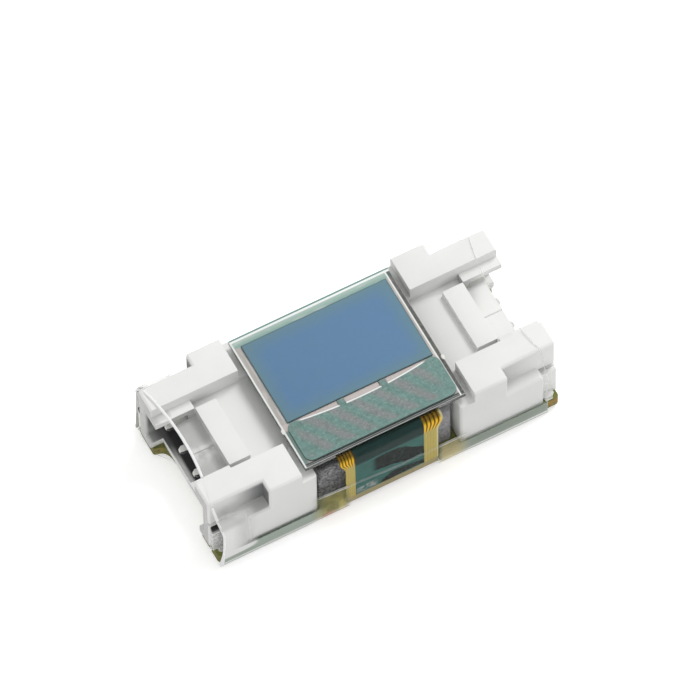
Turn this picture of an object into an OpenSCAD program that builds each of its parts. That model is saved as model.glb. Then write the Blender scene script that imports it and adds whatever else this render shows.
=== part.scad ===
// Small OLED display module: a circuit board with a 4-pin side-entry socket at each end,
// a 0.42 inch display glass seated between the sockets, and a clear shrink sleeve around it all.
// The long axis is X, the display faces +Z, the flex tail of the display folds down at -Y.

/* [Circuit board] */
// Width of the board
board_w = 11.9; // [11.9:0.1:13]
// Thickness of the board
board_t = 0.8; // [0.6:0.1:1.2]
// Distance from a socket's mouth to the board's end below it
board_setback = 0.18; // [0.1:0.02:0.3]
// Radius of the board's two front corners
front_corner_r = 0.3; // [0.2:0.05:0.8]
// Radius of the board's two back corners
back_corner_r = 0.8; // [0.2:0.05:0.8]
// Depth of the hollow in each short end
notch_d = 1.03; // [0.6:0.01:1.2]
// Width of the hollow in each short end
notch_w = 6.7; // [5:0.1:7.2]

/* [Sockets] */
// Length of a socket from its mouth to its back
socket_l = 7.65; // [7.4:0.05:7.9]
// Height of a socket
socket_h = 5.65; // [5.45:0.05:6.2]
// Width of the mouth part
mouth_w = 10; // [9.8:0.1:10.4]
// Length of the wide back part
back_l = 3.6; // [3:0.1:4]
// Thickness of the mouth's side walls
wall_t = 0.8; // [0.6:0.05:1]
// Thickness of the floor
floor_t = 0.75; // [0.55:0.05:0.9]
// Thickness of the wall that holds the contacts
rear_wall_t = 1; // [0.8:0.1:1.4]
// Height of the plug space under the latch pocket
cavity_h = 2.6; // [2.5:0.05:2.75]
// Width of the recess between the two top shoulders
recess_w = 6.3; // [5.8:0.1:6.6]
// Depth of that recess below the shoulders
recess_d = 1.5; // [1.3:0.05:1.6]
// Width of the latch pocket
pocket_w = 4.9; // [4.4:0.1:5.2]
// Depth of the latch pocket below the shoulders
pocket_d = 1.9; // [1.8:0.05:2]
// Distance from the mouth to the front edge of the pocket's floor
pocket_setback = 1.35; // [1.2:0.05:1.6]
// Depth of the lips beside the pocket below the shoulders
lip_d = 0.9; // [0.7:0.05:1.1]
// Thickness of the lips
lip_t = 0.5; // [0.4:0.05:0.6]
// Length of the latch bar behind the pocket
bar_l = 1.55; // [1.2:0.05:1.8]
// Height of the latch bar above the recess
bar_h = 0.6; // [0.4:0.05:0.8]
// Height of the side flanges that hold the solder tabs
flange_h = 3.45; // [3.25:0.05:3.7]
// Setback of the side flanges from the mouth
flange_setback = 1.35; // [1.1:0.05:1.7]
// Length of the ledge that the display glass lies on
ledge_l = 1.1; // [1:0.05:1.4]
// Chamfer on the outer edges of the sockets
edge_c = 0.15; // [0.08:0.01:0.25]

/* [Contacts and solder tabs] */
// Number of contacts in a socket
contact_n = 4; // [2:1:4]
// Distance between contacts
contact_pitch = 2; // [1.9:0.05:2.1]
// Width of a contact
contact_w = 0.5; // [0.4:0.05:0.6]
// Height of a contact's pin
contact_h = 0.4; // [0.35:0.05:0.5]
// Thickness of a contact's leg and foot
contact_t = 0.25; // [0.2:0.01:0.3]
// Distance from the mouth to the tip of a contact
contact_setback = 0.95; // [0.8:0.05:2]
// Length of a contact's foot on the board
foot_l = 0.8; // [0.5:0.05:0.9]
// Thickness of a solder tab
tab_t = 0.3; // [0.2:0.02:0.34]
// Height of a solder tab
tab_h = 2.75; // [2.4:0.05:2.85]
// Length of the barb that holds a solder tab in its flange
barb_l = 1.9; // [1.2:0.1:2.2]

/* [Display] */
// Length of the display glass, which sets how far apart the sockets stand
glass_l = 12; // [11:0.1:14]
// Gap between the glass and the shoulders of the sockets
glass_gap = 0.45; // [0.2:0.05:0.6]
// Width of the display glass
glass_w = 11; // [10.8:0.1:11.2]
// Thickness of the front glass
front_glass_t = 0.45; // [0.35:0.05:0.5]
// Thickness of the back glass
back_glass_t = 0.45; // [0.4:0.05:0.5]
// Thickness of the films on the front glass
film_t = 0.12; // [0.08:0.01:0.15]
// Margin between the viewing film and the sides of the glass and of the chip ledge
view_side_margin = 0.55; // [0.4:0.05:0.8]
// Margin between the viewing film and the back edge of the glass
view_back_margin = 0.8; // [0.4:0.05:0.9]
// Width of the bare glass ledge that carries the driver chip
chip_ledge_w = 3; // [2.8:0.05:3.2]
// Margin between the film over the chip ledge and the sides of the glass
ledge_film_margin = 0.35; // [0.2:0.05:0.6]
// Rise of the curved gap between the two films
film_gap = 0.45; // [0.3:0.05:0.6]
// Length of the driver chip
chip_l = 6.6; // [5.5:0.1:7.5]
// Width of the driver chip
chip_w = 0.8; // [0.6:0.05:1]
// Thickness of the driver chip
chip_t = 0.3; // [0.2:0.05:0.35]

/* [Flex tail] */
// Width of the flex tail where it drops past the board
flex_w = 6.9; // [6.4:0.1:8]
// Width of the flex tail where it is bonded to the glass
flex_bond_w = 7.7; // [7:0.1:8.6]
// Distance from the middle of the glass to the middle of the flex tail
flex_x = 0.16; // [-0.4:0.02:0.4]
// Thickness of the flex tail
flex_t = 0.08; // [0.06:0.01:0.1]
// Outer radius of the flex tail's bend below the glass
flex_r = 0.45; // [0.35:0.01:0.5]
// Outer radius of the flex tail's fold under the board
fold_r = 0.25; // [0.2:0.01:0.4]
// Length of the flex tail under the board
flex_under_l = 3.4; // [2.5:0.1:4.5]
// Length of the taper between the two widths of the flex tail
flex_taper_l = 1; // [0.6:0.1:2]
// Width of a solder bead at the end of the flex tail
bead_w = 0.36; // [0.3:0.02:0.42]
// Length of a solder bead
bead_l = 1; // [0.8:0.1:1.4]
// Height of a solder bead
bead_t = 0.08; // [0.04:0.01:0.1]
// Number of soldered pads at the end of the flex tail
pad_n = 11; // [5:1:11]
// Distance between those pads
pad_pitch = 0.62; // [0.5:0.01:0.64]

/* [Board parts] */
// Width of the foam pad under the display
foam_w = 10.6; // [10.2:0.1:10.9]
// Height of the tunnel in the foam pad over the board parts
tunnel_h = 1.4; // [1.25:0.05:2.4]
// Width of that tunnel
tunnel_w = 8.4; // [7.8:0.1:9]
// Length of a capacitor
cap_l = 1.6; // [1:0.1:1.6]
// Length of a resistor
res_l = 1; // [0.6:0.1:1]
// Height of a capacitor
cap_h = 0.8; // [0.5:0.1:0.9]
// Height of a resistor
res_h = 0.35; // [0.25:0.05:0.5]
// Length of the voltage regulator
reg_l = 2.9; // [2:0.1:3]
// Width of the voltage regulator's body
reg_w = 1.6; // [1.2:0.1:1.8]
// Height of the voltage regulator's body
reg_h = 1; // [0.8:0.05:1.1]
// Thickness of the voltage regulator's leads
lead_t = 0.15; // [0.1:0.01:0.2]

/* [Sleeve] */
// Wall of the sleeve
sleeve_t = 0.1; // [0.08:0.01:0.15]
// How far the sleeve's left end stops short of the left mouth
sleeve_short_left = 0.85; // [0.8:0.05:1.6]
// How far the sleeve's right end stops short of the right mouth
sleeve_short_right = 1.4; // [0.8:0.05:1.6]
// How far the corners of the left end reach out
flare_left = 0.7; // [0:0.05:0.8]
// How far the corners of the right end reach out
flare_right = 0.25; // [0:0.05:0.8]
// How far the sleeve's ends hang lower than its middle
sleeve_drop = 0.06; // [0:0.02:0.5]

/* [Hidden] */
$fn = 48;
// Overlap that keeps a cut clear of the face it opens
cut = 1;
// Gap around a part that is pushed into a slot
slip = 0.04;
// Gap between the sleeve and what it is shrunk onto
sleeve_gap = 0.03;
// Gap between the films on the glass
film_slit = 0.03;

// The glass lies on the two sockets' ledges, so it sets where their mouths are and how long
// the board below them is
span_l = glass_l + 2 * (glass_gap + socket_l - ledge_l);
board_l = span_l - 2 * board_setback;

// Heights of the stack, from the sleeve's underside up
board_z = sleeve_drop + sleeve_t + sleeve_gap + bead_t + flex_t;
board_top = board_z + board_t;
socket_top = board_top + socket_h;
film_z = socket_top - film_t;
front_glass_z = film_z - front_glass_t;
back_glass_z = front_glass_z - back_glass_t;
panel_t = film_t + front_glass_t + back_glass_t;

// Lengths inside a socket, from its mouth
mouth_l = socket_l - back_l;
rear_wall_u = socket_l - rear_wall_t;
bar_u = mouth_l + 0.45 - bar_l;
bay_l = bar_u - 0.45;
cavity_top = floor_t + cavity_h;
contact_z = floor_t + cavity_h - 0.53;
tab_setback = 0.1;
tab_z = contact_t;
barb_z = [1.05, 2.25];
floor_setback = 1;
floor_notch_w = 7.1;

// Display films
view_l = glass_l - 2 * view_side_margin;
view_w = glass_w - chip_ledge_w - view_side_margin - view_back_margin;
view_y = glass_w / 2 - view_back_margin - view_w;
ledge_film_l = glass_l - 2 * ledge_film_margin;
gap_r = (pow(view_l / 2, 2) + pow(film_gap, 2)) / (2 * film_gap);
film_tab_x = view_l / 7;
film_tab_w = 0.5;

// Flex tail: outer face of its drop, and the board's relief behind it
flex_y = board_w / 2 + flex_t;
relief_d = fold_r - flex_t;
relief_gap = 0.12;
foot_u = socket_l + slip;
foam_l = span_l - 2 * (foot_u + contact_t) - 0.2;
part_pitch = foam_l / 3.8;

// Sleeve sections
shell_y = flex_y + sleeve_gap + sleeve_t;
shell_top = socket_top + sleeve_gap + sleeve_t;
flange_top = board_top + flange_h;
mouth_x = span_l / 2 - mouth_l + 0.1;
mouth_ramp = 1.1;
back_x = span_l / 2 - socket_l + 0.05;
back_ramp = 1.2;
sleeve_left = span_l / 2 - sleeve_short_left;
sleeve_right = span_l / 2 - sleeve_short_right;
glass_edge_y = glass_w / 2 + 0.25 + sleeve_t;
mouth_y = mouth_w / 2 + 0.05 + sleeve_t;

// ---------------------------------------------------------------- shared shapes

// Rectangle with its four corners cut at 45 degrees, from the origin
module chamfered_rect(w, h, c) {
    polygon([[c, 0], [w - c, 0], [w, c], [w, h - c], [w - c, h], [c, h], [0, h - c], [0, c]]);
}

// Block with every edge chamfered, centred across Y, standing on z = 0
module chamfered_block(l, w, h, c) {
    intersection() {
        translate([0, -w / 2, 0]) linear_extrude(h) chamfered_rect(l, w, c);
        translate([0, w / 2, 0]) rotate([90, 0, 0]) linear_extrude(w) chamfered_rect(l, h, c);
        translate([0, -w / 2, 0]) rotate([90, 0, 90]) linear_extrude(l) chamfered_rect(w, h, c);
    }
}

// Box centred across Y, between two lengths and two heights
module slab(u0, u1, w, z0, z1) {
    translate([u0, -w / 2, z0]) cube([u1 - u0, w, z1 - z0]);
}

// Rectangle with true round corners, centred on the origin
module rounded_rect(l, w, r) {
    square([l - 2 * r, w], center = true);
    square([l, w - 2 * r], center = true);
    for (x = [-1, 1], y = [-1, 1]) translate([x * (l / 2 - r), y * (w / 2 - r)]) circle(r);
}

// Places a socket's part, drawn from its mouth along +X, at the left or the right end
module at_socket(side) {
    rotate([0, 0, side == "left" ? 0 : 180]) translate([-span_l / 2, 0, board_top]) children();
}

// ---------------------------------------------------------------- circuit board

// Outline of the hollow in a short end: a flat-bottomed curve with steep sides
function hollow_point(a) =
    [notch_d * pow(abs(sin(a)), 2 / 3), notch_w / 2 * sign(cos(a)) * pow(abs(cos(a)), 1 / 3)];

module end_hollow() {
    steps = 28;
    polygon(concat([[-cut, notch_w / 2]],
                   [for (k = [0 : steps]) hollow_point(180 * k / steps)],
                   [[-cut, -notch_w / 2]]));
}

// Cuts a square corner at the origin, whose sides run along +X and +Y, to a radius
module corner_cut(r) {
    difference() {
        translate([-cut, -cut]) square(cut + r);
        translate([r, r]) circle(r);
    }
}

module circuit_board() {
    tip_r = 0.25;
    color("olivedrab") translate([0, 0, board_z]) linear_extrude(board_t) difference() {
        square([board_l, board_w], center = true);
        for (side = [0, 1]) mirror([side, 0]) translate([-board_l / 2, 0]) {
            end_hollow();
            translate([0, -board_w / 2]) corner_cut(front_corner_r);
            translate([0, board_w / 2]) mirror([0, 1]) corner_cut(back_corner_r);
            translate([0, notch_w / 2]) corner_cut(tip_r);
            translate([0, -notch_w / 2]) mirror([0, 1]) corner_cut(tip_r);
        }
        translate([flex_x - flex_w / 2 - relief_gap, -board_w / 2 - cut])
            square([flex_w + 2 * relief_gap, relief_d + cut]);
    }
}

// ---------------------------------------------------------------- sockets

module socket_outside() {
    chamfered_block(socket_l - edge_c, mouth_w, socket_h, edge_c);
    translate([mouth_l, 0, 0]) chamfered_block(back_l, board_w, socket_h, edge_c);
    translate([flange_setback, 0, 0])
        chamfered_block(mouth_l + 2 * edge_c - flange_setback, board_w, flange_h, edge_c);
}

// Plug space: low under the latch pocket, taller in the two keyways beside it
module plug_space() {
    slab(-cut, rear_wall_u, mouth_w - 2 * wall_t, floor_t, cavity_top);
    for (side = [-1, 1])
        translate([0, side * (pocket_w + mouth_w - 2 * wall_t) / 4, 0])
            slab(-cut, bay_l, (mouth_w - 2 * wall_t - pocket_w) / 2,
                 floor_t, socket_h - lip_d - lip_t);
    slab(-cut, floor_setback, floor_notch_w, -cut, cavity_top);
    slab(-cut, pocket_setback, pocket_w, floor_t, socket_h + cut);
}

// Top recess with the lips, the latch pocket, its rib and the latch bar left standing
module top_recess() {
    slab(-cut, bar_u, recess_w, socket_h - lip_d, socket_h + cut);
    difference() {
        slab(bar_u - slip, socket_l + cut, recess_w, socket_h - recess_d, socket_h + cut);
        slab(bar_u - slip, bar_u + bar_l, pocket_w, 0, socket_h - recess_d + bar_h);
    }
    difference() {
        slab(pocket_setback - slip, bar_u, pocket_w, socket_h - pocket_d, socket_h + cut);
        slab(pocket_setback - cut, bar_u + cut, 0.3, 0, socket_h - pocket_d + 0.12);
    }
}

module glass_ledge() {
    ledge_h = socket_h - panel_t;
    slab(socket_l - ledge_l, socket_l + cut, board_w + cut, ledge_h, socket_h + cut);
}

module tab_slots() {
    slot_y = mouth_w / 2;
    for (side = [0, 1]) mirror([0, side, 0]) {
        translate([tab_setback, slot_y, barb_z[0] - slip])
            cube([flange_setback + barb_l, tab_t + 2 * slip, barb_z[1] - barb_z[0] + 2 * slip]);
        translate([-cut, slot_y - wall_t / 2, tab_h])
            cube([cut + flange_setback, wall_t, 0.35]);
    }
}

module socket_housing() {
    color("whitesmoke") difference() {
        socket_outside();
        plug_space();
        top_recess();
        glass_ledge();
        tab_slots();
        for (k = [0 : contact_n - 1])
            translate([0, contact_y(k), 0])
                slab(rear_wall_u - cut, socket_l + cut, contact_w + 2 * slip,
                     contact_z - contact_h / 2 - slip, contact_z + contact_h / 2 + slip);
    }
}

// ---------------------------------------------------------------- contacts and tabs

function contact_y(k) = ((contact_n - 1) / 2 - k) * contact_pitch;

// Pin with a tapered tip, leg down the back of the socket and foot on the board
module contact() {
    taper = 0.2;
    low = contact_z - contact_h / 2;
    high = contact_z + contact_h / 2;
    leg_u = foot_u + contact_t;
    color("silver") intersection() {
        translate([0, contact_w / 2, 0]) rotate([90, 0, 0]) linear_extrude(contact_w)
            polygon([[contact_setback, low + 0.1], [contact_setback + taper, low],
                     [foot_u, low], [foot_u, 0], [foot_u + contact_t + foot_l, 0],
                     [leg_u + foot_l, contact_t], [leg_u, contact_t],
                     [leg_u, high - 0.1], [leg_u - 0.1, high],
                     [contact_setback + taper, high], [contact_setback, high - 0.1]]);
        linear_extrude(socket_h) polygon([
            [contact_setback, -contact_w / 4], [contact_setback + taper, -contact_w / 2],
            [leg_u + foot_l, -contact_w / 2], [leg_u + foot_l, contact_w / 2],
            [contact_setback + taper, contact_w / 2], [contact_setback, contact_w / 4]]);
    }
}

// Angle plate beside the mouth: its foot is soldered to the board, its barb sits in the flange
module solder_tab() {
    plate_y = mouth_w / 2 + slip / 2;
    foot_w = board_w / 2 - plate_y - 0.22;
    foot_u0 = board_setback + 0.12;
    foot_c = 0.2;
    plate_l = flange_setback - slip - tab_setback;
    color("gainsboro") translate([tab_setback, plate_y, 0]) {
        cube([plate_l, tab_t, tab_h]);
        linear_extrude(tab_z)
            polygon([[foot_u0, 0], [plate_l, 0], [plate_l, foot_w - foot_c],
                     [plate_l - foot_c, foot_w], [foot_u0 + foot_c, foot_w],
                     [foot_u0, foot_w - foot_c]]);
        translate([0, 0, barb_z[0]]) cube([plate_l + barb_l, tab_t, barb_z[1] - barb_z[0]]);
    }
}

// ---------------------------------------------------------------- display

module front_glass() {
    color("azure", 0.5) translate([-glass_l / 2, -glass_w / 2, front_glass_z])
        cube([glass_l, glass_w, front_glass_t]);
}

// Back glass with the etched hollow that the emitting layers sit in
module back_glass() {
    back_l = glass_l - 0.5;
    back_w = glass_w - chip_ledge_w - 0.2;
    hollow_t = back_glass_t / 3;
    rim = 0.5;
    color("lightblue", 0.6)
        translate([-back_l / 2, -glass_w / 2 + chip_ledge_w, back_glass_z]) difference() {
            cube([back_l, back_w, back_glass_t]);
            translate([rim, rim, back_glass_t - hollow_t])
                cube([back_l - 2 * rim, back_w - 2 * rim, cut]);
        }
}

module emitter_stack() {
    stack_t = back_glass_t / 6;
    edge = 0.6;
    color("steelblue") translate([-view_l / 2 + edge, view_y + edge, front_glass_z - stack_t])
        cube([view_l - 2 * edge, view_w - 2 * edge, stack_t]);
}

module viewing_film() {
    color("cadetblue") translate([-view_l / 2, view_y, film_z]) cube([view_l, view_w, film_t]);
}

// Film over the chip ledge: its back edge is a shallow arc with two tabs across the gap
module ledge_film() {
    front_y = -glass_w / 2 + 0.25;
    film_w = view_y - film_slit - front_y;
    color("darkseagreen") translate([0, 0, film_z]) linear_extrude(film_t) {
        difference() {
            translate([0, front_y + film_w / 2]) rounded_rect(ledge_film_l, film_w, 0.55);
            translate([0, view_y + gap_r - film_gap]) circle(gap_r, $fn = 240);
        }
        for (side = [-1, 1]) translate([side * film_tab_x - film_tab_w / 2, view_y - 0.6])
            square([film_tab_w, 0.6 - film_slit]);
    }
}

module driver_chip() {
    chip_setback = 0.35;
    color("dimgray")
        translate([-chip_l / 2, -glass_w / 2 + chip_ledge_w - chip_setback - chip_w,
                   front_glass_z - chip_t])
            cube([chip_l, chip_w, chip_t]);
}

// ---------------------------------------------------------------- flex tail

// Quarter of a ring between two radii, turned to start at an angle
module quarter_ring(r, t, start) {
    rotate(start) intersection() {
        difference() {
            circle(r);
            circle(r - t);
        }
        square(r + cut);
    }
}

// Tail seen from the side, with y to the right: bonded to the glass, down past the board
// and back along its underside
module flex_profile() {
    bend_y = -flex_y + flex_r;
    fold_y = -flex_y + fold_r;
    top_z = front_glass_z;
    low_z = board_z - flex_t;
    bond_l = 1.1;
    translate([bend_y, top_z - flex_t]) square([bond_l, flex_t]);
    translate([bend_y, top_z - flex_r]) quarter_ring(flex_r, flex_t, 90);
    translate([-flex_y, low_z + fold_r]) square([flex_t, top_z - low_z - flex_r - fold_r]);
    translate([fold_y, low_z + fold_r]) quarter_ring(fold_r, flex_t, 180);
    translate([fold_y, low_z]) square([flex_under_l, flex_t]);
}

// Front view of the tail: wide at the bond, tapering to the drop
module flex_outline() {
    shoulder_z = front_glass_z - flex_r;
    polygon([[-flex_bond_w / 2, socket_top], [-flex_bond_w / 2, shoulder_z],
             [-flex_w / 2, shoulder_z - flex_taper_l], [-flex_w / 2, 0],
             [flex_w / 2, 0], [flex_w / 2, shoulder_z - flex_taper_l],
             [flex_bond_w / 2, shoulder_z], [flex_bond_w / 2, socket_top]]);
}

module flex_tail() {
    color("goldenrod") translate([flex_x, 0, 0]) intersection() {
        translate([-flex_bond_w / 2, 0, 0]) rotate([90, 0, 90])
            linear_extrude(flex_bond_w) flex_profile();
        translate([0, board_w, 0]) rotate([90, 0, 0]) linear_extrude(2 * board_w) flex_outline();
    }
}

// Solder beads that bridge from the end of the tail to the board
module flex_solder_joints() {
    end_y = -flex_y + fold_r + flex_under_l;
    half = bead_l / 2;
    color("silver") for (k = [0 : pad_n - 1])
        translate([flex_x + (k - (pad_n - 1) / 2) * pad_pitch - bead_w / 2, end_y, board_z])
            rotate([90, 0, 90]) linear_extrude(bead_w)
                polygon([[0, 0], [0, -flex_t], [-half, -flex_t],
                         [-0.7 * half, -flex_t - 0.8 * bead_t], [0, -flex_t - bead_t],
                         [0.6 * half, -flex_t - 0.2 * bead_t], [half, 0]]);
}

// ---------------------------------------------------------------- pad and board parts

module foam_pad() {
    color("dimgray") difference() {
        translate([-foam_l / 2, -foam_w / 2, board_top])
            cube([foam_l, foam_w, back_glass_z - board_top]);
        translate([-foam_l / 2 - cut, -tunnel_w / 2, board_top - cut])
            cube([foam_l + 2 * cut, tunnel_w, tunnel_h + cut]);
    }
}

// Regulator body on three bent leads
module voltage_regulator() {
    lead_w = reg_l / 7;
    reach = 0.6;
    translate([0, tunnel_w / 4, board_top]) {
        color("dimgray") translate([-reg_l / 2, 0, 0]) chamfered_block(reg_l, reg_w, reg_h, 0.1);
        color("silver") for (lead = [[-reg_l / 3, -1], [reg_l / 3, -1], [0, 1]])
            translate([lead[0] - lead_w / 2, lead[1] * (reg_w + reach) / 2 - reach / 2, 0])
                cube([lead_w, reach, lead_t]);
    }
}

// Chip part with metal ends, centred on its own place
module chip_part(l, w, h, body_colour) {
    end_l = l / 5;
    translate([0, 0, board_top]) {
        color(body_colour) translate([-l / 2 + end_l, -w / 2 + 0.02, 0.02])
            cube([l - 2 * end_l, w - 0.04, h - 0.04]);
        color("silver") for (x = [-l / 2, l / 2 - end_l])
            translate([x, -w / 2, 0]) cube([end_l, w, h]);
    }
}

module capacitor(k) {
    translate([(k - 1) * part_pitch, -tunnel_w / 12, 0])
        chip_part(cap_l, cap_l / 2, cap_h, "peru");
}

module resistor(k) {
    translate([(k - 1) * part_pitch, -tunnel_w / 3.5, 0])
        chip_part(res_l, res_l / 2, res_h, "black");
}

// ---------------------------------------------------------------- sleeve

function unit(v) = v / norm(v);
function ease(x, x0, x1) =
    let (t = max(0, min(1, (x - x0) / (x1 - x0)))) t * t * (3 - 2 * t);
function blend(a, b, t) = a + (b - a) * t;

// Rounded corner at p1 between p0 and p2 as points on a quadratic curve
CORNER_STEPS = 4;
function corner(p0, p1, p2, r) =
    let (a = p1 + r * unit(p0 - p1), b = p1 + r * unit(p2 - p1))
    [for (k = [0 : CORNER_STEPS]) let (t = k / CORNER_STEPS)
        (1 - t) * (1 - t) * a + 2 * t * (1 - t) * p1 + t * t * b];

// Half section at the distance s from the middle, drawn in from the outer face by t:
// over the glass it is narrow at the top, over the sockets' backs it is a plain box,
// and over the mouths its sides run from the shoulders down to the flanges
function half_section(s, t) =
    let (over_back = ease(s, back_x, back_x + back_ramp),
         over_mouth = ease(s, mouth_x, mouth_x + mouth_ramp),
         top_y = blend(blend(glass_edge_y, shell_y, over_back), mouth_y, over_mouth) - t,
         side_y = shell_y - t,
         top_z = shell_top - t,
         knee_z = blend(blend(front_glass_z - 0.2, front_glass_z - 0.6, over_back),
                        flange_top, over_mouth),
         low_z = blend(sleeve_drop, 0, over_back) + t,
         top = [top_y, top_z], knee = [side_y, knee_z], low = [side_y, low_z])
    concat(corner([0, top_z], top, knee, 0.35),
           corner(top, knee, low, 0.3),
           corner(knee, low, [0, low_z], 0.35));

function full_section(s, t) =
    let (half = half_section(s, t), n = len(half))
    concat(half, [for (k = [n - 1 : -1 : 0]) [-half[k][0], half[k][1]]]);

// How far a point of an end section reaches out past the middle of the cut, from 0 to 1
function reach(p) =
    let (across = min(1, abs(p[0]) / (mouth_w / 2)),
         on_side = max(0, min(1, (abs(p[0]) - mouth_w / 2) / (shell_y - mouth_w / 2))))
    across * across - 0.57 * on_side * sin(180 * pow(max(0, 1 - p[1] / shell_top), 1.6));

// Stations along the sleeve: close together where its section changes
RAMP_STEPS = 5;
ramp_stations = concat([for (k = [0 : RAMP_STEPS]) back_x + k / RAMP_STEPS * back_ramp],
                       [for (k = [0 : RAMP_STEPS]) mouth_x + k / RAMP_STEPS * mouth_ramp]);
left_mid = (mouth_x + mouth_ramp + sleeve_left) / 2;
right_mid = (mouth_x + mouth_ramp + sleeve_right) / 2;
stations = concat([-sleeve_left, -left_mid],
                  [for (k = [len(ramp_stations) - 1 : -1 : 0]) -ramp_stations[k]],
                  [0], ramp_stations, [right_mid, sleeve_right]);

function sleeve_ring(x, t) =
    let (flare = x < 0 ? flare_left : flare_right,
         end = x < 0 ? sleeve_left : sleeve_right,
         start = mouth_x + mouth_ramp,
         near_end = max(0, (abs(x) - start) / (end - start)))
    [for (p = full_section(abs(x), t)) [x + sign(x) * flare * near_end * reach(p), p[0], p[1]]];

module shrink_sleeve() {
    rows = len(stations);
    n = len(full_section(0, 0));
    outer = [for (x = stations) each sleeve_ring(x, 0)];
    inner = [for (x = stations) each sleeve_ring(x, sleeve_t)];
    base = rows * n;
    walls = [for (r = [0 : rows - 2], k = [0 : n - 1])
        let (a = r * n + k, b = r * n + (k + 1) % n) [a, b, b + n, a + n]];
    inner_walls = [for (f = walls) [f[3] + base, f[2] + base, f[1] + base, f[0] + base]];
    first = [for (k = [0 : n - 1]) let (b = (k + 1) % n) [b, k, k + base, b + base]];
    last = [for (k = [0 : n - 1]) let (b = (k + 1) % n, top = (rows - 1) * n)
        [top + k, top + b, top + b + base, top + k + base]];
    color("lightgray", 0.3)
        polyhedron(concat(outer, inner), concat(walls, inner_walls, first, last), convexity = 6);
}

// ---------------------------------------------------------------- nodes

circuit_board();
for (side = ["left", "right"]) {
    at_socket(side) socket_housing();
    for (k = [0 : contact_n - 1])
        at_socket(side) translate([0, contact_y(k), 0]) contact();
    for (place = ["back", "front"])
        at_socket(side) mirror([0, (place == "front") == (side == "left") ? 1 : 0, 0])
                solder_tab();
}
front_glass();
back_glass();
viewing_film();
ledge_film();
emitter_stack();
driver_chip();
flex_tail();
flex_solder_joints();
foam_pad();
voltage_regulator();
for (k = [0 : 2]) {
    capacitor(k);
    resistor(k);
}
shrink_sleeve();
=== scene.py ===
"""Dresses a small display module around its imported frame: sockets, board, display, flex and sleeve."""

import math

import bmesh
import bpy
from bpy.props import FloatProperty, FloatVectorProperty, IntProperty, PointerProperty
from mathutils import Matrix, Vector


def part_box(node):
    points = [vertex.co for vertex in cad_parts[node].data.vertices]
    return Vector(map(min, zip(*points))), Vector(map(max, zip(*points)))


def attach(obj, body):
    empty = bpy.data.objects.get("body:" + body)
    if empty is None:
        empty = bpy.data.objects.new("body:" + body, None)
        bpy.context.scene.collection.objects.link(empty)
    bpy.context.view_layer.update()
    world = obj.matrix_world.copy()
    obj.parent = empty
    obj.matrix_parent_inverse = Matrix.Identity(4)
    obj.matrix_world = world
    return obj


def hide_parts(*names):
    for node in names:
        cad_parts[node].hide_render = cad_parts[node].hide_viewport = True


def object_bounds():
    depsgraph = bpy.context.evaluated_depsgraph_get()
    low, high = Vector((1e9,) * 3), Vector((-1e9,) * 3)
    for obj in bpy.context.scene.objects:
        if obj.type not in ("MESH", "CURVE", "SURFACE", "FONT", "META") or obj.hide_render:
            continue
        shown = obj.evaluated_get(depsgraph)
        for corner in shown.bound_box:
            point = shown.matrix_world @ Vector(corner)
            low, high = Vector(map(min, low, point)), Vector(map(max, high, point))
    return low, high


bl_info = {
    "name": "Small Display Module",
    "version": (1, 0, 0),
    "blender": (4, 5, 0),
    "location": "View3D > Sidebar > Module",
    "description": "Builds the finishes and fine pieces of a small display module around its frame",
    "category": "Add Mesh",
}

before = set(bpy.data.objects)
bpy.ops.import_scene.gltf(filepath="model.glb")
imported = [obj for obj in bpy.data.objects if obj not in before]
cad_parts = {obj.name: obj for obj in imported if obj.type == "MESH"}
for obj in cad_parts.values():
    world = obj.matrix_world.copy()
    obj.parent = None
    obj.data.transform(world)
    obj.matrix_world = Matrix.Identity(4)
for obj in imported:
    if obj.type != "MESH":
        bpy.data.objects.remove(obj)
CAD_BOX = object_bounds()
MM = 0.001
SIDES = ("left", "right")
ENDS = ("front", "back")
CONTACTS = 4
CHIP_PAIRS = 3

# Points closer than MERGE are one, and thin pieces' edges are rounded by FINE_EDGE, in
# millimetres.
MERGE = 0.0005
FINE_EDGE = 0.03

# Places in a socket that its box doesn't tell, in millimetres as in its CAD source: first
# distances from its middle, then depths behind its mouth, then heights above the board.
SHOULDER_Y, WALL_Y = 5.0, 4.2
POCKET_START, BAR_START, STEP_DEPTH, BAR_END, REAR_WALL = 1.35, 2.95, 4.05, 4.5, 6.65
PLUG_FLOOR, PLUG_TOP, FLANGE_TOP = 0.75, 3.35, 3.45
POCKET_FLOOR, RECESS_FLOOR, LIP_TOP = 3.75, 4.15, 4.75


def srgb(red, green, blue):
    """A colour given in 0 to 255 steps, as the linear values that shaders use."""
    def linear(step):
        value = step / 255
        return value / 12.92 if value <= 0.04045 else ((value + 0.055) / 1.055) ** 2.4
    return (linear(red), linear(green), linear(blue))


def toned(colour, share):
    """A colour made darker or lighter by a share."""
    return tuple(min(1, share * part) for part in colour)


def corners(node):
    """Lowest and highest corner of a node, in millimetres."""
    low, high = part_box(node)
    return low / MM, high / MM


def colour_prop(name, text, value):
    return FloatVectorProperty(name=name, description=text, subtype="COLOR", size=3,
                               min=0, max=1, default=value)


def length_prop(name, text, value):
    """A length held in millimetres, shown with three decimals."""
    return FloatProperty(name=name, description=text + ", in millimetres", default=value,
                         min=0, soft_max=20, precision=3)


def share_prop(name, text, value):
    return FloatProperty(name=name, description=text, default=value, min=0, soft_max=1,
                         subtype="FACTOR")


# ------------------------------------------------------------------ sizes and colours

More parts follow.
